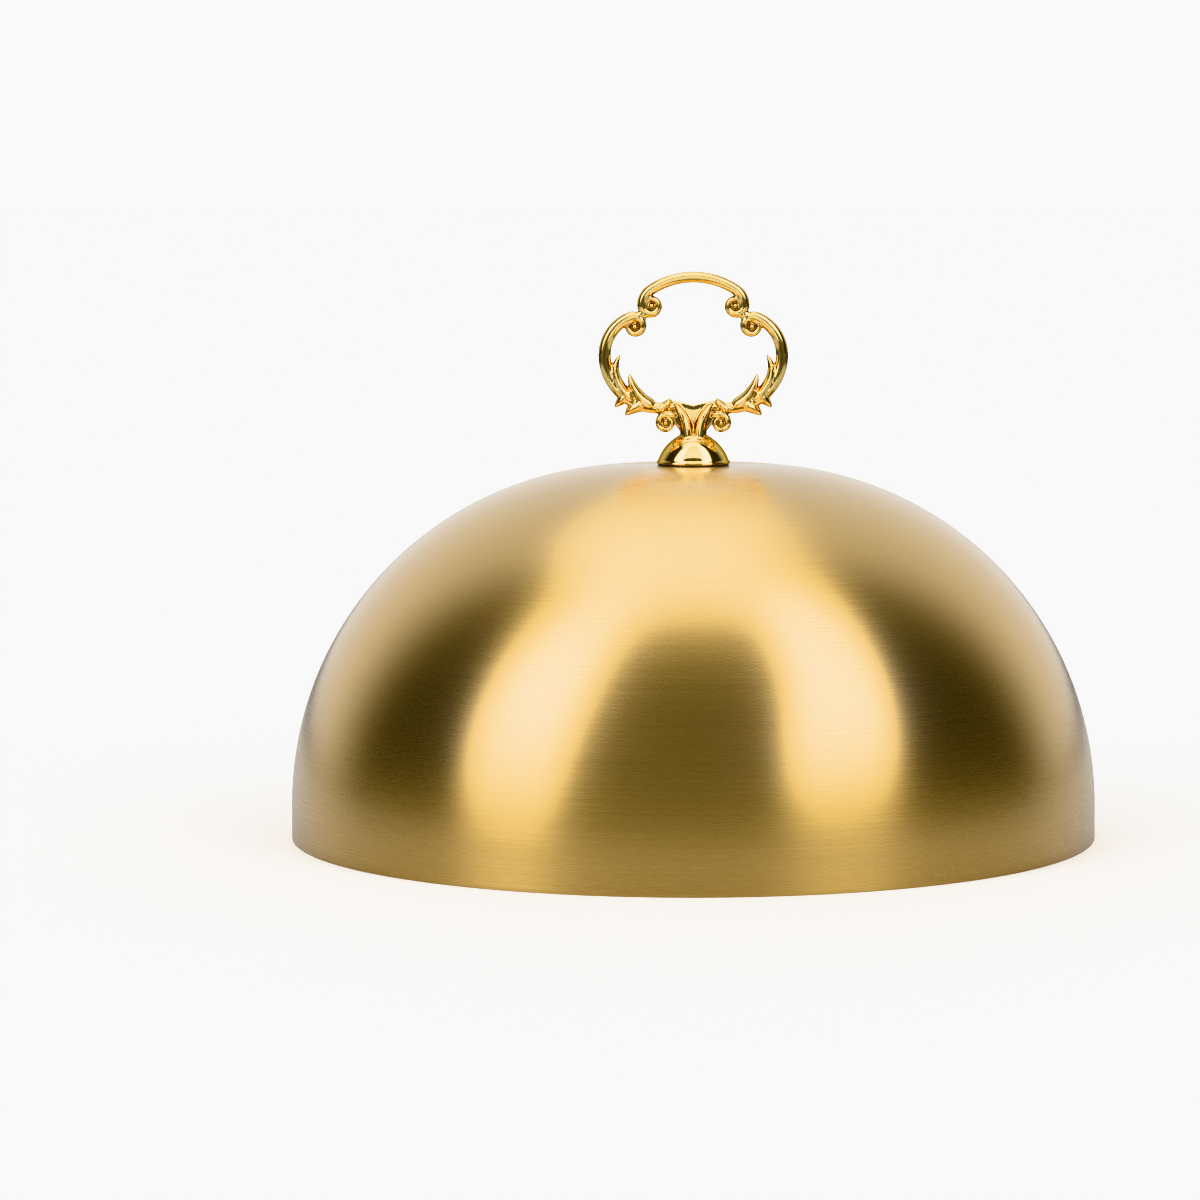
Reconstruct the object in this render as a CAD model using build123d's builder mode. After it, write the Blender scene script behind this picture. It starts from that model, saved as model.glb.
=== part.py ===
from build123d import *

import os
from math import asin, cos, degrees, pi, radians, sin

# Melting dome: a spun sheet dome with a cast scroll handle, held by one screw from inside.
# Millimetres, +Z up, origin on the dome's axis in the plane of its rim.
# The handle's face lies in the XZ plane, so the front view looks along +Y.

# Dome
dome_diameter = 200.0
skirt_height = 8.0  # straight wall above the rim
seat_diameter = 32.0  # flat top that the handle stands on
sheet = 0.6
rim_rounding = 0.15  # deburred edge, outside and inside

# Fixing: an M4 screw with two washers under the dome's top, and a gasket over it
screw_diameter = 4.0
screw_length = 8.0
screw_chamfer = 0.4
screw_head_diameter = 8.0
screw_head_height = 2.6
screw_head_rounding = 1.3
cross_width = 1.1
cross_span = 4.2
cross_depth = 1.5
hole_clearance = 0.25  # all round the screw, in sheet, washers and gasket
thread_clearance = 0.025  # all round the screw, in the handle's tapped hole
thread_runout = 0.8  # tapped hole left free past the screw's end
flat_washer_diameter = 12.0
flat_washer_thickness = 1.0
spring_washer_diameter = 7.6
spring_washer_thickness = 0.9
spring_washer_split = 0.5
spring_washer_slant = 0.6  # sideways run of the split through the washer's thickness
gasket_inset = 0.3  # in from the foot's rim, all round
gasket_thickness = 0.5

# Handle's foot, a bell turned about the dome's axis
foot_diameter = 18.2
foot_rim_height = 0.6
foot_lip = 0.25  # step from the rim in to the bell
foot_height = 7.0  # up to the waist
foot_bulge = 0.9  # swell of the bell's side off a straight line
waist_diameter = 5.0

# Handle's ring, by the centrelines of its bars
stem_height = 6.75  # from the waist up to the branches
branch_reach = 8.85  # from the axis to where a branch starts to rise
lower_ring_radius = 13.15
upper_ring_radius = 9.9
upper_ring_sweep = 70.0  # degrees, from the widest point to the side scroll
shoulder_radius = 4.4  # crown arch's turn into its scroll
arch_rise = 2.53  # crown arch above its shoulders
bar_depth = 3.5
branch_width = 2.6
branch_root_depth = 2.0  # at the axis, behind the stem's blades
side_width = 3.0
side_end_width = 2.9  # where a side bar turns into its scroll
arch_width = 2.7
arch_end_width = 2.5  # where the arch turns into its scroll

# Scrolls at the ends of the bars, each of three quarter turns round an eye
scroll_radius = 2.0
scroll_tightening = 0.9  # radius of each quarter turn against the one before
side_scroll_width = 1.6
crown_scroll_width = 1.9
scroll_depth = 3.0
scroll_tip_width = 0.8  # where the last quarter turn sinks into the floor
scroll_tip_depth = 1.5
scroll_floor_depth = 1.8  # sunk floor that closes a scroll's middle
eye_diameter = 1.3
eye_depth = 3.0
eye_rounding = 0.4
scroll_bearing = 50.0  # degrees, from a side scroll up to the crown's
scroll_gap = 0.17  # between these two, bridged by a neck
neck_width = 2.6
neck_depth = 2.8
lower_scroll_radius = 1.7
lower_scroll_width = 1.4
lower_scroll_root_width = 2.2  # at the axis
lower_scroll_root_depth = 1.8
lower_scroll_offset = 6.9  # from the axis
lower_scroll_sink = 0.25  # how far it runs into the branch above

# Leaves, ridged on both faces
leaf_depth = 3.9
leaf_tip_width = 0.35
leaf_swell_start = 0.2  # share of the half wave of its outline that a leaf's root cuts off
leaf_stations = 6

# Each ring leaf: degrees along the lower ring, length, lean inwards off the ring, bow, width
ring_leaves = [
    (26.0, 12.1, 43.0, 2.4, 2.9),
    (15.0, 8.8, 49.0, 0.9, 2.9),
    (34.0, 4.4, -63.0, -0.3, 2.2),
    (10.0, 5.6, -31.0, -0.4, 2.2),
]

# Stem: two ridged blades that part in a V on a thin web, and a leaf over each branch's root
blade_root_offset = 0.75  # from the axis
blade_root_sink = 2.0  # below the waist
blade_tip_offset = 5.6
blade_tip_rise = 1.5  # above the branch
blade_bow = -1.05
blade_width = 2.6
blade_depth = 6.4
root_leaf_offset = 4.4
root_leaf_drop = 1.8  # below the branch
root_leaf_length = 4.3
root_leaf_angle = 113.0  # degrees from +X
root_leaf_width = 2.2
web_shoulder_offset = 5.2
web_shoulder_rise = 2.1  # above the branch
web_saddle_rise = 0.6  # above the branch
web_flank_bow = -0.8
web_depth = 1.6

# Sizes that follow from those above
dome_radius = dome_diameter / 2
seat_radius = seat_diameter / 2
crown_radius = dome_radius - seat_radius
dome_height = skirt_height + crown_radius
handle_z = dome_height + gasket_thickness
screw_radius = screw_diameter / 2
clear_radius = screw_radius + hole_clearance
flat_washer_top = dome_height - sheet
spring_washer_top = flat_washer_top - flat_washer_thickness
screw_head_top = spring_washer_top - spring_washer_thickness
screw_end = screw_head_top + screw_length
foot_radius = foot_diameter / 2
waist_radius = waist_diameter / 2
branch_height = foot_height + stem_height

handle_plane = Plane(origin=(0, 0, handle_z), x_dir=(1, 0, 0), z_dir=(0, -1, 0))
depth_axis = Vector(0, 1, 0)

os.makedirs("parts", exist_ok=True)


def across(edge, share):
    """Plane square to an edge of the handle's middle plane, with X through the handle's depth."""
    return Plane(edge @ share, x_dir=depth_axis, z_dir=edge % share)


def tapered_bar(stretches):
    """Oval bar along stretches that follow on, each an edge with its width and depth at both ends."""
    with BuildPart() as bar:
        for edge, start_size, end_size in stretches:
            for share, (width, depth) in ((0, start_size), (1, end_size)):
                with BuildSketch(across(edge, share)):
                    Ellipse(depth / 2, width / 2)
            sweep(path=edge, multisection=True)
    return bar.part


def scroll(lead_in, radius, quarter, start_size, width):
    """Stretches of a scroll that goes on from an edge; quarter is 90 or -90 degrees of turn."""
    turn_size = (width, scroll_depth)
    tip_size = (scroll_tip_width, scroll_tip_depth)
    with BuildLine(handle_plane):
        turn = JernArc(lead_in @ 1, lead_in % 1, radius, quarter)
        bend = JernArc(turn @ 1, turn % 1, turn.radius * scroll_tightening, quarter)
        curl = JernArc(bend @ 1, bend % 1, bend.radius * scroll_tightening, quarter)
    return [
        (turn, start_size, turn_size),
        (bend, turn_size, turn_size),
        (curl, turn_size, tip_size),
    ]


def scroll_middle(stretches):
    """Sunk floor and round eye in the middle of a scroll."""
    turn, bend, curl = [edge for edge, _, _ in stretches]
    with BuildPart() as middle:
        with BuildSketch(Plane(curl.arc_center, x_dir=(1, 0, 0), z_dir=depth_axis)):
            Circle(eye_diameter / 2)
        extrude(amount=eye_depth / 2, both=True)
        fillet(middle.edges().filter_by(GeomType.CIRCLE), eye_rounding)
        with BuildSketch(Plane(turn.arc_center, x_dir=(1, 0, 0), z_dir=depth_axis)):
            Circle(bend.radius)
        extrude(amount=scroll_floor_depth / 2, both=True)
    return middle.part


def leaf(midrib, width, depth):
    """Leaf with a ridge on both faces; its outline is a half wave from a cut root to a blunt tip."""
    with BuildPart() as blade:
        for station in range(leaf_stations):
            share = station / (leaf_stations - 1)
            swell = sin(pi * (leaf_swell_start + (1 - leaf_swell_start) * share))
            half_width = leaf_tip_width / 2 + (width - leaf_tip_width) / 2 * swell
            half_depth = leaf_tip_width / 2 + (depth - leaf_tip_width) / 2 * swell
            with BuildSketch(across(midrib, share)):
                Polygon((half_depth, 0), (0, half_width), (-half_depth, 0), (0, -half_width))
        loft(ruled=True)
    return blade.part


# Dome: skirt, one round sweep and a flat top, spun from a disc of sheet
with BuildPart() as dome_shell:
    with BuildSketch(Plane.XZ):
        with BuildLine():
            outer_skirt = Line((dome_radius, 0), (dome_radius, skirt_height))
            outer_sweep = JernArc(outer_skirt @ 1, outer_skirt % 1, crown_radius, 90)
            outer_top = Line(outer_sweep @ 1, (clear_radius, dome_height))
            hole_wall = Line(outer_top @ 1, (clear_radius, dome_height - sheet))
            inner_top = Line(hole_wall @ 1, (seat_radius, dome_height - sheet))
            inner_sweep = JernArc(inner_top @ 1, inner_top % 1, crown_radius - sheet, -90)
            inner_skirt = Line(inner_sweep @ 1, (dome_radius - sheet, 0))
            Line(inner_skirt @ 1, outer_skirt @ 0)
        make_face()
    revolve(axis=Axis.Z)
    rim_edges = dome_shell.edges().filter_by(GeomType.CIRCLE).group_by(Axis.Z)[0]
    fillet(rim_edges, rim_rounding)
dome_shell.part.label = "dome_shell"
export_step(dome_shell.part, "parts/dome_shell.step")

# Gasket between the dome's flat top and the handle's foot
with BuildPart() as seat_gasket:
    with BuildSketch(Plane.XY.offset(dome_height)):
        Circle(foot_radius - gasket_inset)
        Circle(clear_radius, mode=Mode.SUBTRACT)
    extrude(amount=gasket_thickness)
seat_gasket.part.label = "seat_gasket"
export_step(seat_gasket.part, "parts/seat_gasket.step")

# Left side bar of the handle: out from the axis, round the ring and over into its scroll
branch_root_size = (branch_width, branch_root_depth)
branch_size = (branch_width, bar_depth)
side_size = (side_width, bar_depth)
side_end_size = (side_end_width, bar_depth)
with BuildLine(handle_plane):
    branch = Line((0, branch_height), (-branch_reach, branch_height))
    lower_ring = JernArc(branch @ 1, branch % 1, lower_ring_radius, -90)
    upper_ring = JernArc(lower_ring @ 1, lower_ring % 1, upper_ring_radius, -upper_ring_sweep)
side_scroll = scroll(upper_ring, scroll_radius, -90, side_end_size, side_scroll_width)
side_bar = tapered_bar(
    [
        (branch, branch_root_size, branch_size),
        (lower_ring, branch_size, side_size),
        (upper_ring, side_size, side_end_size),
    ]
    + side_scroll
)

# Left half of the handle's crown: an arch that ends in a scroll, set off from the side scroll
arch_size = (arch_width, bar_depth)
arch_end_size = (arch_end_width, bar_depth)
side_reach = scroll_radius + (side_end_width + side_scroll_width) / 4
crown_reach = scroll_radius + (arch_end_width + crown_scroll_width) / 4
bearing = Vector(cos(radians(scroll_bearing)), 0, sin(radians(scroll_bearing)))
side_centre = side_scroll[0][0].arc_center
crown_centre = side_centre + bearing * (side_reach + crown_reach + scroll_gap)
shoulder_offset = scroll_radius - shoulder_radius - crown_centre.X
arch_drop = shoulder_radius + arch_rise
arch_height = crown_centre.Z - handle_z + arch_drop
arch_radius = (shoulder_offset**2 + arch_drop**2 - shoulder_radius**2) / (2 * arch_rise)
arch_sweep = degrees(asin(shoulder_offset / (arch_radius - shoulder_radius)))
with BuildLine(handle_plane):
    arch = JernArc((0, arch_height), (-1, 0), arch_radius, arch_sweep)
    shoulder = JernArc(arch @ 1, arch % 1, shoulder_radius, 90 - arch_sweep)
    neck_start = side_centre + bearing * scroll_radius
    neck = Line(neck_start, crown_centre - bearing * scroll_radius)
crown_scroll = scroll(shoulder, scroll_radius, 90, arch_end_size, crown_scroll_width)
crown_bar = tapered_bar(
    [(arch, arch_size, arch_size), (shoulder, arch_size, arch_end_size)] + crown_scroll
)
neck_bar = tapered_bar([(neck, (neck_width, neck_depth), (neck_width, neck_depth))])

# Lower left scroll, which peels off under the branch
lower_size = (lower_scroll_width, scroll_depth)
lower_scroll_top = branch_height - (branch_width + lower_scroll_width) / 2 + lower_scroll_sink
with BuildLine(handle_plane):
    peel = Line((0, lower_scroll_top), (-lower_scroll_offset, lower_scroll_top))
lower_scroll = scroll(peel, lower_scroll_radius, 90, lower_size, lower_scroll_width)
lower_root_size = (lower_scroll_root_width, lower_scroll_root_depth)
lower_bar = tapered_bar([(peel, lower_root_size, lower_size)] + lower_scroll)

# Left leaves, and the left blade of the stem
leaves = []
for angle, length, lean, bow, width in ring_leaves:
    start = lower_ring @ (angle / 90)
    aim = radians(180 - angle - lean)
    with BuildLine(handle_plane):
        midrib = SagittaArc(start, start + Vector(cos(aim), 0, sin(aim)) * length, bow)
    leaves.append(leaf(midrib, width, leaf_depth))
with BuildLine(handle_plane):
    root_leaf_start = (-root_leaf_offset, branch_height - root_leaf_drop)
    root_rib = PolarLine(root_leaf_start, root_leaf_length, root_leaf_angle)
leaves.append(leaf(root_rib, root_leaf_width, leaf_depth))
with BuildLine(handle_plane):
    blade_start = (-blade_root_offset, foot_height - blade_root_sink)
    blade_end = (-blade_tip_offset, branch_height + blade_tip_rise)
    blade_rib = SagittaArc(blade_start, blade_end, blade_bow)
leaves.append(leaf(blade_rib, blade_width, blade_depth))

with BuildPart() as left_half:
    add(side_bar)
    add(crown_bar)
    add(neck_bar)
    add(lower_bar)
    for stretches in (side_scroll, crown_scroll, lower_scroll):
        add(scroll_middle(stretches))
    add(leaves)

# Handle: one casting of foot, stem, ring and crown, with a tapped hole in its foot
with BuildPart() as handle:
    with BuildSketch(handle_plane):
        with BuildLine():
            foot_side = Line((foot_radius, 0), (foot_radius, foot_rim_height))
            foot_ledge = Line(foot_side @ 1, (foot_radius - foot_lip, foot_rim_height))
            bell = SagittaArc(foot_ledge @ 1, (waist_radius, foot_height), -foot_bulge)
            foot_top = Line(bell @ 1, (0, foot_height))
            foot_axis = Line(foot_top @ 1, (0, 0))
            Line(foot_axis @ 1, foot_side @ 0)
        make_face()
    revolve(axis=Axis.Z)
    with BuildSketch(handle_plane):
        with BuildLine():
            flank_foot = (-waist_radius, foot_height)
            flank_top = (-web_shoulder_offset, branch_height + web_shoulder_rise)
            flank = SagittaArc(flank_foot, flank_top, web_flank_bow)
            saddle_end = (web_shoulder_offset, branch_height + web_shoulder_rise)
            saddle = ThreePointArc(flank @ 1, (0, branch_height + web_saddle_rise), saddle_end)
            far_flank = SagittaArc(saddle @ 1, (waist_radius, foot_height), web_flank_bow)
            Line(far_flank @ 1, flank @ 0)
        make_face()
    extrude(amount=web_depth / 2, both=True)
    add(left_half.part)
    mirror(left_half.part, about=Plane.YZ)
    with BuildSketch(Plane.XY.offset(handle_z)):
        Circle(screw_radius + thread_clearance)
    extrude(amount=screw_end + thread_runout - handle_z, mode=Mode.SUBTRACT)
handle.part.label = "handle"
export_step(handle.part, "parts/handle.step")

# Flat washer against the inside of the dome's top
with BuildPart() as flat_washer:
    with BuildSketch(Plane.XY.offset(flat_washer_top)):
        Circle(flat_washer_diameter / 2)
        Circle(clear_radius, mode=Mode.SUBTRACT)
    extrude(amount=-flat_washer_thickness)
flat_washer.part.label = "flat_washer"
export_step(flat_washer.part, "parts/flat_washer.step")

# Split spring washer, pressed flat under the screw's head
with BuildPart() as spring_washer:
    with BuildSketch(Plane.XY.offset(spring_washer_top)):
        Circle(spring_washer_diameter / 2)
        Circle(clear_radius, mode=Mode.SUBTRACT)
    extrude(amount=-spring_washer_thickness)
    with BuildSketch(Plane.YZ):
        lean = spring_washer_slant / 2
        half_split = spring_washer_split / 2
        Polygon(
            (lean - half_split, spring_washer_top),
            (lean + half_split, spring_washer_top),
            (half_split - lean, screw_head_top),
            (-half_split - lean, screw_head_top),
            align=None,
        )
    extrude(amount=spring_washer_diameter, mode=Mode.SUBTRACT)
spring_washer.part.label = "spring_washer"
export_step(spring_washer.part, "parts/spring_washer.step")

# Pan head screw, up through washers, sheet and gasket into the handle
with BuildPart() as fixing_screw:
    with BuildSketch(Plane.XY.offset(screw_head_top)):
        Circle(screw_head_diameter / 2)
    extrude(amount=-screw_head_height)
    fillet(fixing_screw.edges().group_by(Axis.Z)[0], screw_head_rounding)
    with BuildSketch(Plane.XY.offset(screw_head_top)):
        Circle(screw_radius)
    extrude(amount=screw_length)
    chamfer(fixing_screw.edges().group_by(Axis.Z)[-1], screw_chamfer)
    with BuildSketch(Plane.XY.offset(screw_head_top - screw_head_height)):
        Rectangle(cross_span, cross_width)
        Rectangle(cross_width, cross_span)
    extrude(amount=cross_depth, mode=Mode.SUBTRACT)
fixing_screw.part.label = "fixing_screw"
export_step(fixing_screw.part, "parts/fixing_screw.step")

print("handle", handle.part.bounding_box(), "solids", len(handle.part.solids()))
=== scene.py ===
import bpy
import numpy as np
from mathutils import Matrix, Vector


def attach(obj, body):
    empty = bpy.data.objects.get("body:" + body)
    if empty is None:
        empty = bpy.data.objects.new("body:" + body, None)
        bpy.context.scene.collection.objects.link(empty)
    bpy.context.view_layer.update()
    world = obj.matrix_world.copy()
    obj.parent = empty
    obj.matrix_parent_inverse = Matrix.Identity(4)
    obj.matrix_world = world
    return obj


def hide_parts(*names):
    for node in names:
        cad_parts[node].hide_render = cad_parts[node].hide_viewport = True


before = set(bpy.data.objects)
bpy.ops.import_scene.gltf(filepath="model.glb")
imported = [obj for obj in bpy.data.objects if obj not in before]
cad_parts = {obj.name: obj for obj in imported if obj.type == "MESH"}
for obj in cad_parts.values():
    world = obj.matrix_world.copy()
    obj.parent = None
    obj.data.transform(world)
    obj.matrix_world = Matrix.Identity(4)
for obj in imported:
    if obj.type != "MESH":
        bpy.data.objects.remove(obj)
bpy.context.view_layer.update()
mm = 0.001
print("frame loaded:", sorted(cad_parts))


# camera, at the photograph's angle
cameraSetup = {
    "place": (0.0, -1.05, 0.1585),
    "aim": (0.0, 0.0, 0.070),
    "lens": 127.0,
    "sensor": 36.0,
    "shift": (-0.0778, -0.0388),
    "clip": (0.01, 200.0),
}


def standFacing(thing, place, aim):
    thing.location = place
    look = Vector(aim) - Vector(place)
    thing.rotation_euler = look.to_track_quat("-Z", "Y").to_euler()
    bpy.context.scene.collection.objects.link(thing)


def addCamera(d):
    lensData = bpy.data.cameras.new("photoCamera")
    lensData.lens = d["lens"]
    lensData.sensor_width = d["sensor"]
    lensData.shift_x, lensData.shift_y = d["shift"]
    lensData.clip_start, lensData.clip_end = d["clip"]
    camera = bpy.data.objects.new("photoCamera", lensData)
    standFacing(camera, d["place"], d["aim"])
    bpy.context.scene.camera = camera


addCamera(cameraSetup)
print("camera set")


# mesh tools

# angles spaced evenly round a full turn
def fullTurn(count):
    return np.linspace(0, 2 * np.pi, count, endpoint=False)


# |v|^(2/p) with the sign of v kept: p = 2 makes an oval, less a ridge, more a box
def signedPower(v, p):
    return np.sign(v) * np.abs(v) ** (2 / p)


# a profile turned about Z: ring(s, a) = (r(s) cos a, r(s) sin a, z(s))
def turnedRings(r, z, around):
    a = fullTurn(around)
    level = np.repeat(z[:, None], around, axis=1)
    return np.stack([r[:, None] * np.cos(a), r[:, None] * np.sin(a), level], axis=-1)


# six times the volume inside closed quads, negative when they face inwards
def signedVolume(points, quads):
    a, b, c, d = (points[quads[:, k]] for k in range(4))
    return np.sum(np.cross(b - a, c - a) * a) + np.sum(np.cross(c - a, d - a) * a)


# rings of points (n, m, 3): quads join neighbours, and each end closes on its ring's middle
def closeTube(rings):
    n, m = rings.shape[:2]
    row = np.arange(n - 1)[:, None] * m
    here = np.arange(m)[None, :]
    there = (here + 1) % m
    quads = np.stack([row + here, row + there, row + m + there, row + m + here], axis=-1).reshape(-1, 4)
    ends = np.stack([rings[0].mean(axis=0), rings[-1].mean(axis=0)])
    points = np.concatenate([rings.reshape(-1, 3), ends])
    ring = np.arange(m)
    after = (ring + 1) % m
    startFan = np.stack([np.full(m, n * m), after, ring], axis=-1)
    endFan = np.stack([np.full(m, n * m + 1), (n - 1) * m + ring, (n - 1) * m + after], axis=-1)
    fans = np.concatenate([startFan, endFan])
    fanQuads = np.column_stack([fans, fans[:, 2]])
    if signedVolume(points, np.concatenate([quads, fanQuads])) < 0:
        quads = quads[:, ::-1]
        fans = fans[:, ::-1]
    return points, quads, fans


# the same shell seen in a mirror at X = 0, turned to face outwards again
def mirrorTube(tube):
    points, quads, fans = tube
    return points * np.array([-1.0, 1.0, 1.0]), quads[:, ::-1], fans[:, ::-1]


# one mesh out of shells of (points, quads, triangles)
def meshPiece(name, tubes):
    starts = np.cumsum([0] + [len(points) for points, _, _ in tubes])
    points = np.concatenate([points for points, _, _ in tubes])
    faces = []
    for start, (_, quads, fans) in zip(starts, tubes):
        faces += (quads + start).tolist() + (fans + start).tolist()
    mesh = bpy.data.meshes.new(name)
    mesh.from_pydata(points.tolist(), [], faces)
    mesh.polygons.foreach_set("use_smooth", np.ones(len(mesh.polygons), bool))
    mesh.update()
    piece = bpy.data.objects.new(name, mesh)
    bpy.context.scene.collection.objects.link(piece)
    return piece


# dome, in millimetres: a profile of (radius, height) turned about Z
domeSetup = {
    "radius": 100.0,
    "skirt": 8.0,
    "seatRadius": 16.0,
    "height": 92.0,
    "sheet": 0.6,
    "rimRound": 0.15,
    "holeRadius": 2.25,
    "around": 256,
    "sweepRows": 90,
    "skirtRows": 8,
    "topRows": 14,
    "rimRows": 5,
    "holeRows": 2,
    "sharpFrom": 50.0,  # degrees between faces
}


# up the outside from the rim, through the hole and down the inside, where all is one sheet thinner
def domeProfile(d):
    def upright(rows, r, first, last):
        return np.column_stack([np.full(rows, r), np.linspace(first, last, rows + 1)[1:]])

    def flat(rows, first, last, z):
        return np.column_stack([np.linspace(first, last, rows + 1)[1:], np.full(rows, z)])

    def arc(turn, reach):
        return np.column_stack([d["seatRadius"] + reach * np.cos(turn), d["skirt"] + reach * np.sin(turn)])

    sweep = d["radius"] - d["seatRadius"]
    edge = d["rimRound"]
    inner = d["radius"] - d["sheet"]
    under = d["height"] - d["sheet"]
    quarter = np.linspace(0, np.pi / 2, d["sweepRows"] + 1)
    tight = np.linspace(0, np.pi / 2, d["rimRows"] + 1)
    return np.concatenate([
        np.column_stack([d["radius"] - edge + edge * np.sin(tight), edge - edge * np.cos(tight)]),
        upright(d["skirtRows"], d["radius"], edge, d["skirt"]),
        arc(quarter[1:], sweep),
        flat(d["topRows"], d["seatRadius"], d["holeRadius"], d["height"]),
        upright(d["holeRows"], d["holeRadius"], d["height"], under),
        flat(d["topRows"], d["holeRadius"], d["seatRadius"], under),
        arc(quarter[::-1][1:], sweep - d["sheet"]),
        upright(d["skirtRows"], inner, d["skirt"], edge),
        np.column_stack([inner + edge - edge * np.cos(tight), edge - edge * np.sin(tight)])[1:],
    ])


# point(s, a) = (r(s) cos a, r(s) sin a, z(s)), closed both ways
def domePiece(d):
    profile = domeProfile(d)
    n = len(profile)
    m = d["around"]
    row = np.arange(n)[:, None]
    here = np.arange(m)[None, :]
    nextRow = (row + 1) % n
    there = (here + 1) % m
    quads = np.stack([row * m + here, row * m + there, nextRow * m + there, nextRow * m + here], axis=-1)
    quads = quads.reshape(-1, 4)
    points = turnedRings(profile[:, 0], profile[:, 1], m).reshape(-1, 3) * mm
    if signedVolume(points, quads) < 0:
        quads = quads[:, ::-1]
    piece = meshPiece("domeSkin", [(points, quads, np.zeros((0, 3), int))])
    mesh = piece.data
    step = np.linalg.norm(np.diff(profile, axis=0, append=profile[:1]), axis=1)
    along = np.concatenate([[0.0], np.cumsum(step)])

    # U runs along the profile and V round the dome, each up to 1 on the faces that close it
    vertex = np.zeros(len(mesh.loops), np.int32)
    mesh.loops.foreach_get("vertex_index", vertex)
    faceOf = np.repeat(np.arange(len(quads)), 4)
    ringIndex = vertex // m
    turnIndex = vertex % m
    lastRow = (faceOf // m) == n - 1
    lastTurn = (faceOf % m) == m - 1
    u = along[np.where(lastRow & (ringIndex == 0), n, ringIndex)] / along[-1]
    v = np.where(lastTurn & (turnIndex == 0), m, turnIndex) / m
    layer = mesh.uv_layers.new(name="meridian")
    layer.data.foreach_set("uv", np.column_stack([u, v]).astype(np.float32).ravel())

    # place of the brushing: (cos a, sin a, metres along the profile)
    brush = mesh.attributes.new("brush", "FLOAT_VECTOR", "POINT")
    turn = fullTurn(m)
    direction = np.tile(np.stack([np.cos(turn), np.sin(turn)], axis=-1), (n, 1))
    lines = np.concatenate([direction, np.repeat(along[:n] * mm, m)[:, None]], axis=1)
    brush.data.foreach_set("vector", lines.astype(np.float32).ravel())
    mesh.set_sharp_from_angle(angle=np.radians(d["sharpFrom"]))
    return piece


domeSkin = domePiece(domeSetup)
print("dome:", len(domeSkin.data.polygons), "faces")


# handle: lines in its middle plane, walked from the axis to the left, in millimetres above its foot
handleSetup = {
    "foot": 92.5,  # height of the foot's seat
    "step": 0.16,
    "leastSteps": 8,
    "easing": 9,  # points on each side
    "around": 28,
    "barEdge": 2.0,
    "barHeading": 180.0,
}
sideBarSetup = {
    "start": (0.0, 13.75),
    "runs": [
        (4.4, 0), (4.45, 0), (20.656, -90), (12.095, -70),  # branch, ring
        (3.534, -90), (3.18, -90), (2.86, -90), (2.12, -90), (1.2, -80),  # volute
    ],
    "width": [0.5, 1.5, 2.8, 3.1, 2.9, 1.9, 1.65, 1.4, 1.1, 0.65],
    "depth": [0.5, 1.3, 3.4, 3.5, 3.5, 3.2, 3.0, 2.8, 2.4, 1.9],
}
crownBarSetup = {
    "start": (0.0, 46.1524),
    "runs": [
        (11.403, 33.938), (4.3052, 56.062),  # arch
        (3.38, 90), (3.04, 90), (2.74, 90), (2.0, 90), (1.15, 80),  # volute
    ],
    "width": [2.7, 2.7, 2.5, 2.0, 1.7, 1.45, 1.05, 0.6],
    "depth": [3.5, 3.5, 3.5, 3.1, 3.0, 2.8, 2.4, 1.9],
}
lowerBarSetup = {
    "start": (0.0, 12.1),
    "runs": [
        (3.9, 0), (2.8, 0),
        (3.06, 90), (2.76, 90), (2.48, 90), (1.75, 90), (1.0, 80),  # volute
    ],
    "width": [0.5, 1.1, 1.6, 1.6, 1.45, 1.2, 0.9, 0.55],
    "depth": [0.5, 1.2, 3.0, 3.0, 2.8, 2.5, 2.1, 1.7],
}
neckSetup = {
    "start": (-13.4, 36.0),
    "heading": 50.0,
    "length": 1.9,
    "width": 2.8,
    "depth": 2.9,
}
scrollSetup = {
    "middles": [(-14.72, 34.09), (-10.54, 39.22), (-6.7, 10.15)],
    "floorRadius": [2.0, 1.9, 1.7],
    "floorDepth": 0.9,
    "floorEdge": 8.0,
    "eyes": [(-14.52, 33.9), (-10.35, 39.04), (-6.87, 9.98)],
    "eyeRadius": [0.78, 0.75, 0.68],
    "eyeDepth": 3.2,
    "eyeEdge": 2.2,
    "rows": 23,
    "around": 32,
}
leafSetup = {  # each: start, bend, tip, width, depth
    "startRound": 0.2,
    "fullness": 2.4,
    "taper": 0.7,
    "tipSwell": 0.04,
    "depthPower": 0.7,
    "rows": 70,
    "edge": 1.5,
    "leaves": [
        ((-14.0, 14.8), (-22.0, 21.2), (-18.1, 27.0), 2.7, 4.6),  # long one inside the ring
        ((-9.4, 14.0), (-14.8, 16.0), (-15.9, 22.3), 3.2, 4.6),  # short one inside the ring
        ((-15.4, 17.8), (-17.4, 16.4), (-19.5, 13.9), 3.0, 4.3),  # upper one outside
        ((-12.2, 14.6), (-14.8, 14.4), (-16.9, 11.9), 3.3, 4.3),  # lower one outside
        ((-9.0, 13.4), (-6.6, 13.6), (-5.8, 16.2), 2.8, 4.4),  # at the root
    ],
    "bladeEdge": 2.4,
    "blades": [
        ((-1.6, 3.6), (-0.75, 10.6), (-4.7, 15.0), 3.1, 8.0),
    ],
}
footSetup = {
    "underside": (0.4, 6.0),
    "radius": 9.1,
    "rim": 0.6,
    "lip": 0.25,
    "soften": 0.12,
    "bellStart": 108.0,
    "bellLength": 8.85,
    "bellTurn": 46.0,
    "filletRadius": 1.5,
    "stemTop": (0.9, 9.6),
    "topMiddle": 0.3,
    "step": 0.12,
    "cornerRows": 4,
    "around": 96,
}
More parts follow.
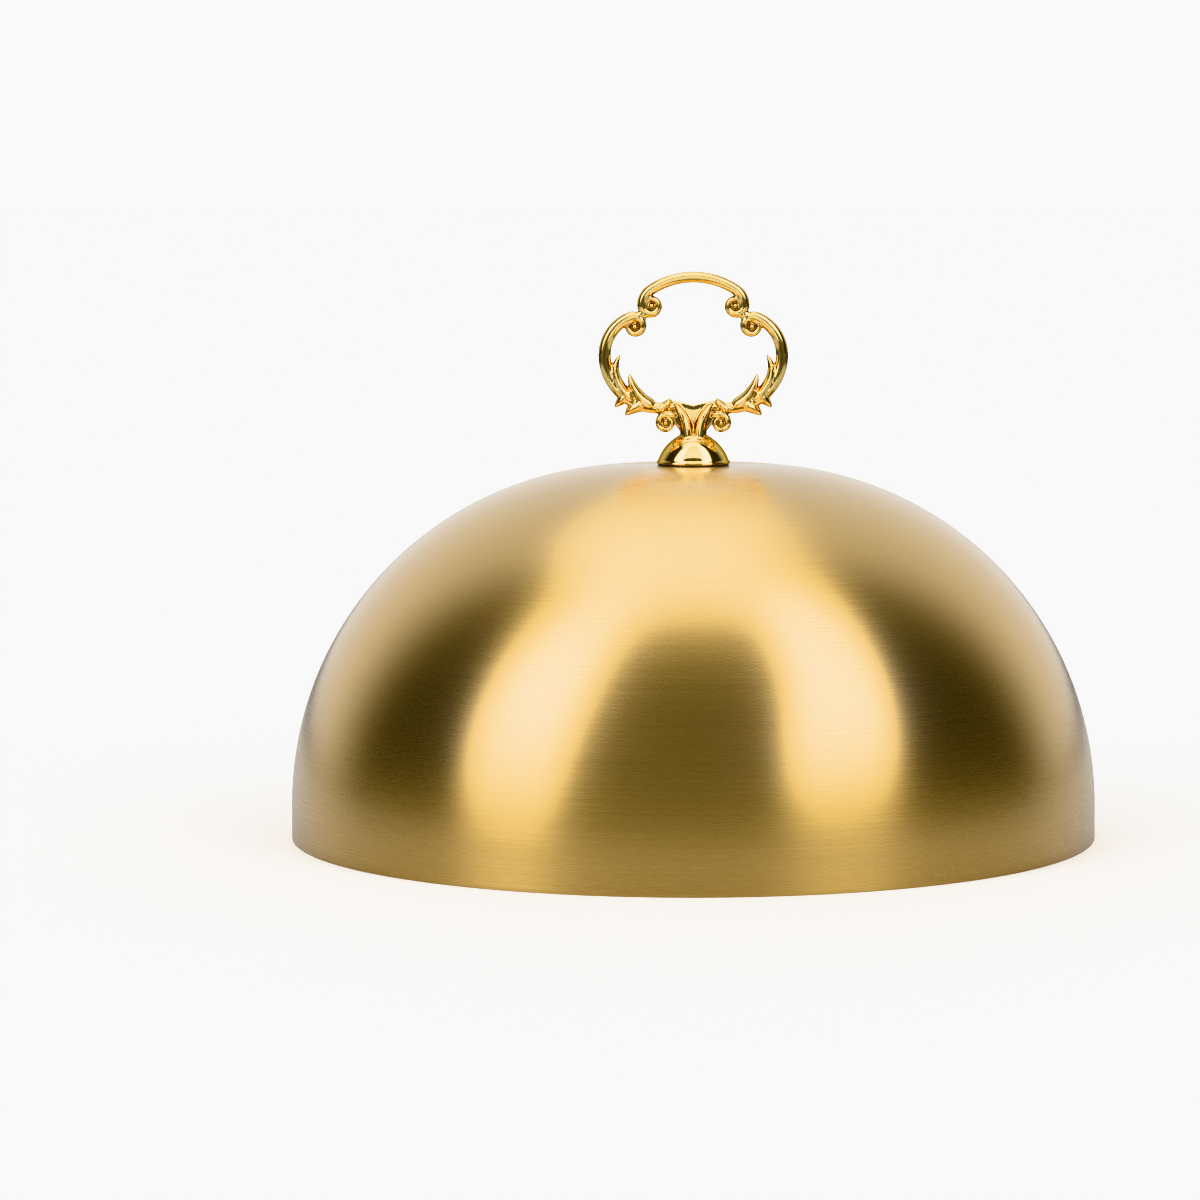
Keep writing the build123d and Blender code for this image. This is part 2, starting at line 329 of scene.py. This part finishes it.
webSetup = {
    "bottom": 6.2,
    "saddle": 13.2,
    "shoulder": 15.7,
    "halfWidth": [3.1, 3.4, 4.8, 5.7, 5.7, 5.3],
    "halfDepth": [2.2, 1.6, 1.1, 0.8, 0.6, 0.5],
    "edge": 2.2,
    "rows": 60,
    "around": 48,
}
tapSetup = {
    "radius": 2.025,
    "depth": 5.8,
    "lead": 1.0,
    "around": 64,
}
castSetup = {
    "grain": 0.2,
    "smoothing": 3,
    "smoothShare": 0.5,
}


# straight runs and arcs, each (length, turn in degrees): x and z follow from a heading that turns evenly
def walkLine(start, heading, runs, step):
    x = [np.array([start[0]])]
    z = [np.array([start[1]])]
    h = [np.array([np.radians(heading)])]
    corners = [0.0]
    s = [np.array([0.0])]
    for length, turn in runs:
        steps = max(int(np.ceil(length / step)), handleSetup["leastSteps"])
        away = np.linspace(0, length, steps + 1)[1:]
        bend = np.radians(turn) / length
        first = h[-1][-1]
        half = bend * away / 2
        chord = away * np.sinc(half / np.pi)  # chord of an arc: its length times sin(half) / half
        x.append(x[-1][-1] + chord * np.cos(first + half))
        z.append(z[-1][-1] + chord * np.sin(first + half))
        h.append(first + bend * away)
        s.append(corners[-1] + away)
        corners.append(corners[-1] + length)
    line = {k: np.concatenate(v) for k, v in (("x", x), ("z", z), ("h", h), ("s", s))}
    return line | {"corners": corners}


# values at the corners of a line, joined straight and rounded off by a running mean
def easedAlong(line, values):
    reach = handleSetup["easing"]
    raw = np.interp(line["s"], line["corners"], values)
    padded = np.pad(raw, reach, mode="edge")
    window = np.hanning(2 * reach + 1)
    return np.convolve(padded, window / window.sum(), mode="valid")


# ring(a) = line + side * w |cos a|^(2/p) + depth * d |sin a|^(2/p), with the signs kept
def ovalTube(line, halfWidth, halfDepth, edge):
    a = fullTurn(handleSetup["around"])
    side = halfWidth[:, None] * signedPower(np.cos(a), edge)
    x = line["x"][:, None] - np.sin(line["h"])[:, None] * side
    z = line["z"][:, None] + np.cos(line["h"])[:, None] * side
    y = halfDepth[:, None] * signedPower(np.sin(a), edge)
    return closeTube(np.stack([x, y, z + handleSetup["foot"]], axis=-1) * mm)


# bar: an oval carried along a walked line, its width and depth eased from corner to corner
def barTube(d):
    line = walkLine(d["start"], handleSetup["barHeading"], d["runs"], handleSetup["step"])
    halfWidth = easedAlong(line, d["width"]) / 2
    halfDepth = easedAlong(line, d["depth"]) / 2
    return ovalTube(line, halfWidth, halfDepth, handleSetup["barEdge"])


# neck between two scrolls: one oval carried along a straight line
def neckTube(d):
    line = walkLine(d["start"], d["heading"], [(d["length"], 0)], handleSetup["step"])
    same = np.ones(len(line["s"]))
    return ovalTube(line, same * d["width"] / 2, same * d["depth"] / 2, handleSetup["barEdge"])


# curve with one bend: point(t) = (1-t)^2 start + 2t(1-t) bend + t^2 tip
def bentLine(start, bend, tip, rows):
    t = np.linspace(0, 1, rows)[:, None]
    a, b, c = (np.array([p]) for p in (start, bend, tip))
    point = (1 - t) ** 2 * a + 2 * t * (1 - t) * b + t**2 * c
    along = (1 - t) * (b - a) + t * (c - b)
    return {"x": point[:, 0], "z": point[:, 1], "h": np.arctan2(along[:, 1], along[:, 0]), "share": t[:, 0]}


# leaf: its half width falls as (1 - t^fullness)^taper to the tip, after a quarter round at its start
def leafTube(start, bend, tip, width, depth, edge):
    d = leafSetup
    line = bentLine(start, bend, tip, d["rows"])
    early = np.clip(1 - line["share"] / d["startRound"], 0, 1)
    swell = np.sqrt(1 - early**2) * (1 - line["share"] ** d["fullness"]) ** d["taper"] + d["tipSwell"]
    return ovalTube(line, width / 2 * swell, depth / 2 * swell ** d["depthPower"], edge)


# button about a line through the depth: r = R |cos t|^(2/p), y = d |sin t|^(2/p)
def buttonTube(middle, radius, depth, edge):
    rows, around = scrollSetup["rows"], scrollSetup["around"]
    t = np.linspace(-np.pi / 2, np.pi / 2, rows + 2)[1:-1]
    ring = radius * signedPower(np.cos(t), edge)[:, None]
    y = depth / 2 * signedPower(np.sin(t), edge)[:, None]
    a = fullTurn(around)
    x = middle[0] + ring * np.cos(a)
    z = middle[1] + ring * np.sin(a) + handleSetup["foot"]
    return closeTube(np.stack([x, np.repeat(y, around, axis=1), z], axis=-1) * mm)


# foot: a rim, a bell arc and a hollow rounding up into the stem, turned about Z
def footTube(d):
    soft = d["soften"]
    fillet = d["bellStart"] + d["bellTurn"] - 90
    runs = [(d["bellLength"], d["bellTurn"]), (d["filletRadius"] * np.radians(fillet), -fillet)]
    bell = walkLine((d["radius"] - d["lip"], d["rim"]), d["bellStart"], runs, d["step"])
    corner = np.linspace(0, np.pi / 2, d["cornerRows"] + 1)
    outer = d["radius"] - soft
    top, height = d["stemTop"]
    r = np.concatenate([
        d["underside"],
        outer + soft * np.sin(corner),
        outer + soft * np.cos(corner),
        bell["x"],
        [top, d["topMiddle"]],
    ])
    z = np.concatenate([
        [0.0, 0.0],
        soft - soft * np.cos(corner),
        d["rim"] - soft + soft * np.sin(corner),
        bell["z"],
        [height, height],
    ])
    return closeTube(turnedRings(r, z + handleSetup["foot"], d["around"]) * mm)


# web of the stem: flat ovals that bend up to both sides, z = bottom + v (top(u) - bottom),
# where top(u) = saddle + (shoulder - saddle) u^2
def webTube(d):
    v = np.linspace(0, 1, d["rows"])
    knots = np.linspace(0, 1, len(d["halfWidth"]))
    halfWidth = np.interp(v, knots, d["halfWidth"])[:, None]
    halfDepth = np.interp(v, knots, d["halfDepth"])[:, None]
    a = fullTurn(d["around"])
    u = signedPower(np.cos(a), d["edge"])
    w = signedPower(np.sin(a), d["edge"])
    top = d["saddle"] + (d["shoulder"] - d["saddle"]) * u**2
    z = d["bottom"] + v[:, None] * (top - d["bottom"])
    return closeTube(np.stack([halfWidth * u, halfDepth * w, z + handleSetup["foot"]], axis=-1) * mm)


# plug of the tapped hole, a plain cylinder up into the foot: x = R cos a, y = R sin a
def tapTube(d):
    z = np.array([-d["lead"], d["depth"]]) + handleSetup["foot"]
    return closeTube(turnedRings(np.full(2, d["radius"]), z, d["around"]) * mm)


# the shape after all modifiers becomes the piece's own mesh
def settle(piece):
    graph = bpy.context.evaluated_depsgraph_get()
    rough = piece.data
    piece.data = bpy.data.meshes.new_from_object(piece.evaluated_get(graph))
    piece.data.name = piece.name
    piece.modifiers.clear()
    bpy.data.meshes.remove(rough)


# left half, its mirror image, the foot and the web, run together on a grid of voxels and then drilled
def handlePiece():
    left = [barTube(setup) for setup in (sideBarSetup, crownBarSetup, lowerBarSetup)]
    left.append(neckTube(neckSetup))
    for middle, radius in zip(scrollSetup["middles"], scrollSetup["floorRadius"]):
        left.append(buttonTube(middle, radius, scrollSetup["floorDepth"], scrollSetup["floorEdge"]))
    for eye, radius in zip(scrollSetup["eyes"], scrollSetup["eyeRadius"]):
        left.append(buttonTube(eye, radius, scrollSetup["eyeDepth"], scrollSetup["eyeEdge"]))
    left += [leafTube(*leaf, leafSetup["edge"]) for leaf in leafSetup["leaves"]]
    left += [leafTube(*blade, leafSetup["bladeEdge"]) for blade in leafSetup["blades"]]
    right = [mirrorTube(tube) for tube in left]
    piece = meshPiece("handleCasting", left + right + [footTube(footSetup), webTube(webSetup)])
    fuse = piece.modifiers.new("fuse", "REMESH")
    fuse.mode = "VOXEL"
    fuse.voxel_size = castSetup["grain"] * mm
    fuse.use_smooth_shade = True
    soften = piece.modifiers.new("soften", "SMOOTH")
    soften.factor = castSetup["smoothShare"]
    soften.iterations = castSetup["smoothing"]
    plug = meshPiece("tapPlug", [tapTube(tapSetup)])
    tap = piece.modifiers.new("tap", "BOOLEAN")
    tap.operation = "DIFFERENCE"
    tap.solver = "EXACT"
    tap.object = plug
    settle(piece)
    bpy.data.objects.remove(plug)
    return piece


handleCasting = handlePiece()
print("handle:", len(handleCasting.data.polygons), "faces")


# finishes
white = (1.0, 1.0, 1.0, 1.0)


def grey(value):
    return (value, value, value, 1.0)


def newFinish(name, sockets):
    finish = bpy.data.materials.new(name)
    finish.use_nodes = True
    shader = finish.node_tree.nodes["Principled BSDF"]
    for socket, value in sockets.items():
        shader.inputs[socket].default_value = value
    return finish, finish.node_tree, shader


def addNode(tree, kind, **sockets):
    node = tree.nodes.new(kind)
    for name, value in sockets.items():
        node.inputs[name].default_value = value
    return node


def linkRamp(tree, source, target, colours, spread=(0.0, 1.0)):  # one colour to the other over the spread
    ramp = tree.nodes.new("ShaderNodeValToRGB")
    for element, colour, position in zip(ramp.color_ramp.elements, colours, spread):
        element.position = position
        element.color = colour
    tree.links.new(source, ramp.inputs["Fac"])
    tree.links.new(ramp.outputs["Color"], target)


def colourMix(tree, blend):  # a mix node of colours, and its sockets by name
    node = tree.nodes.new("ShaderNodeMix")
    node.data_type = "RGBA"
    node.blend_type = blend
    return {socket.identifier: socket for socket in (*node.inputs, *node.outputs)}


def objectNoise(tree, scale, detail, rough):
    place = tree.nodes.new("ShaderNodeTexCoord")
    noise = addNode(tree, "ShaderNodeTexNoise", Scale=scale, Detail=detail, Roughness=rough)
    tree.links.new(place.outputs["Object"], noise.inputs["Vector"])
    return noise.outputs["Fac"]


brushedGoldSetup = {
    "tones": ((0.662, 0.429, 0.125, 1.0), (0.698, 0.455, 0.137, 1.0)),
    "rough": (0.265, 0.277),
    "spread": (0.3, 0.7),
    "aniso": 0.84,
    "coat": 1.0,
    "coatRough": 0.27,
    "lines": (1.3, 1.3, 6000.0),
    "lineDetail": 1.0,
    "lineRough": 0.5,
    "bump": 0.003,
    "bumpDepth": 0.0001,
}


def brushedGold(d):
    finish, tree, shader = newFinish("brushedGold", {
        "Metallic": 1.0,
        "Anisotropic": d["aniso"],
        "Coat Weight": d["coat"],
        "Coat Roughness": d["coatRough"],
    })
    links = tree.links
    place = tree.nodes.new("ShaderNodeAttribute")
    place.attribute_name = "brush"
    scale = addNode(tree, "ShaderNodeMapping", Scale=d["lines"])
    lines = addNode(tree, "ShaderNodeTexNoise", Scale=1.0, Detail=d["lineDetail"], Roughness=d["lineRough"])
    links.new(place.outputs["Vector"], scale.inputs["Vector"])
    links.new(scale.outputs["Vector"], lines.inputs["Vector"])
    linkRamp(tree, lines.outputs["Fac"], shader.inputs["Base Color"], d["tones"], d["spread"])
    linkRamp(tree, lines.outputs["Fac"], shader.inputs["Roughness"], map(grey, d["rough"]), d["spread"])
    bump = addNode(tree, "ShaderNodeBump", Strength=d["bump"], Distance=d["bumpDepth"])
    links.new(lines.outputs["Fac"], bump.inputs["Height"])
    links.new(bump.outputs["Normal"], shader.inputs["Normal"])
    tangent = tree.nodes.new("ShaderNodeTangent")
    tangent.direction_type = "UV_MAP"
    tangent.uv_map = "meridian"
    links.new(tangent.outputs["Tangent"], shader.inputs["Tangent"])
    return finish


polishedGoldSetup = {
    "tones": ((0.90, 0.64, 0.22, 1.0), (0.97, 0.74, 0.30, 1.0)),
    "toneSpread": (0.35, 0.65),
    "edge": (0.20, 0.09, 0.02, 1.0),
    "rough": (0.04, 0.10),
    "roughSpread": (0.3, 0.7),
    "grain": 900.0,
    "grainDetail": 3.0,
    "grainRough": 0.6,
    "paintedHollowShade": (0.20, 0.085, 0.04, 1.0),  # painted shade: base colour darker and redder in the hollows, standing in for the dark interreflections there
    "paintedShadeFrom": (0.35, 0.85),
    "paintedShadeReach": 0.0022,
    "paintedShadeSamples": 12,
}


def polishedGold(d):
    finish, tree, shader = newFinish("polishedGold", {"Metallic": 1.0, "Specular Tint": d["edge"]})
    grain = objectNoise(tree, d["grain"], d["grainDetail"], d["grainRough"])
    # painted shade: ambient occlusion darkens and reddens the base colour in creases and hollows
    paintedHollowShade = addNode(tree, "ShaderNodeAmbientOcclusion", Distance=d["paintedShadeReach"])
    paintedHollowShade.samples = d["paintedShadeSamples"]
    paintedHollowShade.only_local = True
    both = colourMix(tree, "MULTIPLY")
    both["Factor_Float"].default_value = 1.0
    linkRamp(tree, grain, both["A_Color"], d["tones"], d["toneSpread"])
    linkRamp(tree, paintedHollowShade.outputs["AO"], both["B_Color"], (d["paintedHollowShade"], white), d["paintedShadeFrom"])
    tree.links.new(both["Result_Color"], shader.inputs["Base Color"])
    linkRamp(tree, grain, shader.inputs["Roughness"], map(grey, d["rough"]), d["roughSpread"])
    return finish


stainlessSetup = {
    "tones": ((0.48, 0.48, 0.47, 1.0), (0.66, 0.66, 0.65, 1.0)),
    "rough": (0.22, 0.4),
    "spread": (0.3, 0.7),
    "grain": 2600.0,
    "grainDetail": 4.0,
    "grainRough": 0.6,
}


def stainless(d):
    finish, tree, shader = newFinish("stainless", {"Metallic": 1.0})
    grain = objectNoise(tree, d["grain"], d["grainDetail"], d["grainRough"])
    linkRamp(tree, grain, shader.inputs["Base Color"], d["tones"], d["spread"])
    linkRamp(tree, grain, shader.inputs["Roughness"], map(grey, d["rough"]), d["spread"])
    return finish


rubberSetup = {
    "tones": ((0.012, 0.011, 0.01, 1.0), (0.022, 0.02, 0.018, 1.0)),
    "spread": (0.3, 0.7),
    "rough": 0.6,
    "grain": 1400.0,
    "grainDetail": 2.0,
    "grainRough": 0.5,
}


def blackRubber(d):
    finish, tree, shader = newFinish("blackRubber", {"Roughness": d["rough"]})
    grain = objectNoise(tree, d["grain"], d["grainDetail"], d["grainRough"])
    linkRamp(tree, grain, shader.inputs["Base Color"], d["tones"], d["spread"])
    return finish


def dress(piece, finish):
    piece.data.materials.clear()
    piece.data.materials.append(finish)


dress(domeSkin, brushedGold(brushedGoldSetup))
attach(domeSkin, "root")
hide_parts("dome_shell")

dress(handleCasting, polishedGold(polishedGoldSetup))
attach(handleCasting, "root")
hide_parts("handle")

steel = stainless(stainlessSetup)
for nodeName in ("flat_washer", "spring_washer", "fixing_screw"):
    dress(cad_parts[nodeName], steel)
dress(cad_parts["seat_gasket"], blackRubber(rubberSetup))
print("finishes on")


# floor, in metres: a wide flat disc
floorSetup = {
    "radius": 60.0,
    "rows": 39,
    "crowding": 3,  # rows lie closer near the middle
    "around": 64,
    "tone": grey(0.94),
    "rough": 0.7,
    "specular": 0.1,
    "paintedReflection": (grey(0.34), grey(0.03)),  # painted reflection: the floor's tone for glossy rays only, darker near the middle and near black past its edge, standing in for a lit table top and a dark room seen in the metal
    "paintedDarkEdge": (0.40, 0.75),
}


# point(r, a) = (r cos a, r sin a, 0), closed on its middle
def floorPiece(d):
    n, m = d["rows"], d["around"]
    ring = d["radius"] * np.linspace(0, 1, n + 1)[1:] ** d["crowding"]
    points = np.concatenate([turnedRings(ring, np.zeros(n), m).reshape(-1, 3), np.zeros((1, 3))])
    row = np.arange(n - 1)[:, None] * m
    here = np.arange(m)[None, :]
    there = (here + 1) % m
    quads = np.stack([row + here, row + m + here, row + m + there, row + there], axis=-1).reshape(-1, 4)
    fans = np.stack([np.full(m, n * m), here[0], there[0]], axis=-1)
    return meshPiece("floor", [(points, quads, fans)])


def paleFloor(d):
    finish, tree, shader = newFinish("paleFloor", {
        "Roughness": d["rough"],
        "Specular IOR Level": d["specular"],
    })
    links = tree.links
    place = tree.nodes.new("ShaderNodeTexCoord")
    away = tree.nodes.new("ShaderNodeVectorMath")
    away.operation = "LENGTH"
    links.new(place.outputs["Object"], away.inputs[0])
    fade = tree.nodes.new("ShaderNodeMapRange")
    fade.interpolation_type = "SMOOTHSTEP"
    fade.inputs["From Min"].default_value, fade.inputs["From Max"].default_value = d["paintedDarkEdge"]
    links.new(away.outputs["Value"], fade.inputs["Value"])
    tone = colourMix(tree, "MIX")
    tone["A_Color"].default_value = d["tone"]
    linkRamp(tree, fade.outputs["Result"], tone["B_Color"], d["paintedReflection"])
    # painted reflection: glossy rays see the darker tones fading with distance, other rays see the even
    # pale tone
    ray = tree.nodes.new("ShaderNodeLightPath")
    links.new(ray.outputs["Is Glossy Ray"], tone["Factor_Float"])
    links.new(tone["Result_Color"], shader.inputs["Base Color"])
    return finish


floor = floorPiece(floorSetup)
dress(floor, paleFloor(floorSetup))


# studio: a room of light round the object, by direction, white behind, with a box above,
# a tall box on each side in front and dark between
roomSetup = {
    "dark": 0.029,
    "front": {"from": (0.42, 1.10), "light": 0.176},  # towards the viewer
    "back": {"off": (43, 77), "rise": (52, 102), "light": 0.853},  # fades aside and upwards, in degrees
    "topBox": {"roll": (-30, -13, 3, 20), "pitch": (-18, -5, 5, 46), "light": 4.11},  # off straight up
    "boxes": [  # left, right
        {"side": -1.0, "lean": -0.03, "turn": (34, 49, 60, 75), "rise": (-2, 40, 47, 90), "light": 9.98},
        {"side": 1.0, "lean": -0.43, "turn": (13, 27, 44, 58), "rise": (8, 33, 65, 90), "light": 8.32},
    ],
    "seen": 1.734,  # the same as the floor under this light
}


def addRoom(d):
    world = bpy.data.worlds.new("studio")
    bpy.context.scene.world = world
    world.use_nodes = True
    nodes = world.node_tree.nodes
    links = world.node_tree.links
    nodes.clear()

    def plug(socket, value):
        if isinstance(value, bpy.types.NodeSocket):
            links.new(value, socket)
        else:
            socket.default_value = value

    def sums(operation, first, second=0.0):
        node = nodes.new("ShaderNodeMath")
        node.operation = operation
        plug(node.inputs[0], first)
        plug(node.inputs[1], second)
        return node.outputs["Value"]

    def ease(value, low, high):  # 0 below low, 1 above high, a smooth step between
        node = nodes.new("ShaderNodeMapRange")
        node.interpolation_type = "SMOOTHSTEP"
        plug(node.inputs["Value"], value)
        node.inputs["From Min"].default_value = low
        node.inputs["From Max"].default_value = high
        return node.outputs["Result"]

    def band(value, edges):  # a smooth step up and one down
        a, b, c, e = np.radians(edges)
        return sums("SUBTRACT", ease(value, a, b), ease(value, c, e))

    place = nodes.new("ShaderNodeTexCoord")
    parts = nodes.new("ShaderNodeSeparateXYZ")
    links.new(place.outputs["Generated"], parts.inputs["Vector"])
    x, y, z = parts.outputs
    front = sums("MULTIPLY", y, -1.0)
    rise = sums("ARCSINE", z)
    total = sums("ADD", d["dark"], sums("MULTIPLY", ease(front, *d["front"]["from"]), d["front"]["light"]))
    off = ease(sums("ARCTAN2", sums("ABSOLUTE", x), y), *np.radians(d["back"]["off"]))
    high = ease(rise, *np.radians(d["back"]["rise"]))
    behind = sums("MULTIPLY", sums("SUBTRACT", 1.0, off), sums("SUBTRACT", 1.0, high))
    total = sums("ADD", total, sums("MULTIPLY", behind, d["back"]["light"]))
    roll = band(sums("ARCTAN2", x, z), d["topBox"]["roll"])
    pitch = band(sums("ARCTAN2", y, z), d["topBox"]["pitch"])
    total = sums("ADD", total, sums("MULTIPLY", sums("MULTIPLY", roll, pitch), d["topBox"]["light"]))
    for box in d["boxes"]:
        turn = sums("ARCTAN2", sums("MULTIPLY", x, box["side"]), front)
        leant = sums("ADD", turn, sums("MULTIPLY", rise, box["lean"]))
        spot = sums("MULTIPLY", band(leant, box["turn"]), band(rise, box["rise"]))
        total = sums("ADD", total, sums("MULTIPLY", spot, box["light"]))
    light = nodes.new("ShaderNodeBackground")
    links.new(total, light.inputs["Strength"])
    seen = nodes.new("ShaderNodeBackground")
    seen.inputs["Strength"].default_value = d["seen"]
    for node in (light, seen):
        node.inputs["Color"].default_value = white
    ray = nodes.new("ShaderNodeLightPath")
    mix = nodes.new("ShaderNodeMixShader")
    out = nodes.new("ShaderNodeOutputWorld")
    links.new(ray.outputs["Is Camera Ray"], mix.inputs["Fac"])
    links.new(light.outputs["Background"], mix.inputs[1])
    links.new(seen.outputs["Background"], mix.inputs[2])
    links.new(mix.outputs["Shader"], out.inputs["Surface"])


addRoom(roomSetup)


# three cards that light the handle alone: behind the camera, low in front and high in front
cardSetup = {
    "aim": (0.0, 0.0, 0.118),
    "cards": {
        "frontCard": {"place": (0.0, -1.30, 0.45), "size": (0.5, 0.5), "power": 1.3},
        "lowCard": {"place": (0.0, -0.50, 0.005), "size": (0.3, 0.07), "power": 0.27},
        "highCard": {"place": (0.0, -0.50, 0.98), "size": (1.0, 0.5), "power": 3.6},
    },
}


def addCard(name, d, aim, lit):
    cardData = bpy.data.lights.new(name, "AREA")
    cardData.shape = "RECTANGLE"
    cardData.size, cardData.size_y = d["size"]
    cardData.energy = d["power"]
    card = bpy.data.objects.new(name, cardData)
    standFacing(card, d["place"], aim)
    card.visible_camera = False
    card.light_linking.receiver_collection = lit


handleLit = bpy.data.collections.new("litByCards")
handleLit.objects.link(handleCasting)
for cardName, card in cardSetup["cards"].items():
    addCard(cardName, card, cardSetup["aim"], handleLit)
bpy.context.scene.view_settings.view_transform = "Khronos PBR Neutral"
print("stage and lights set")
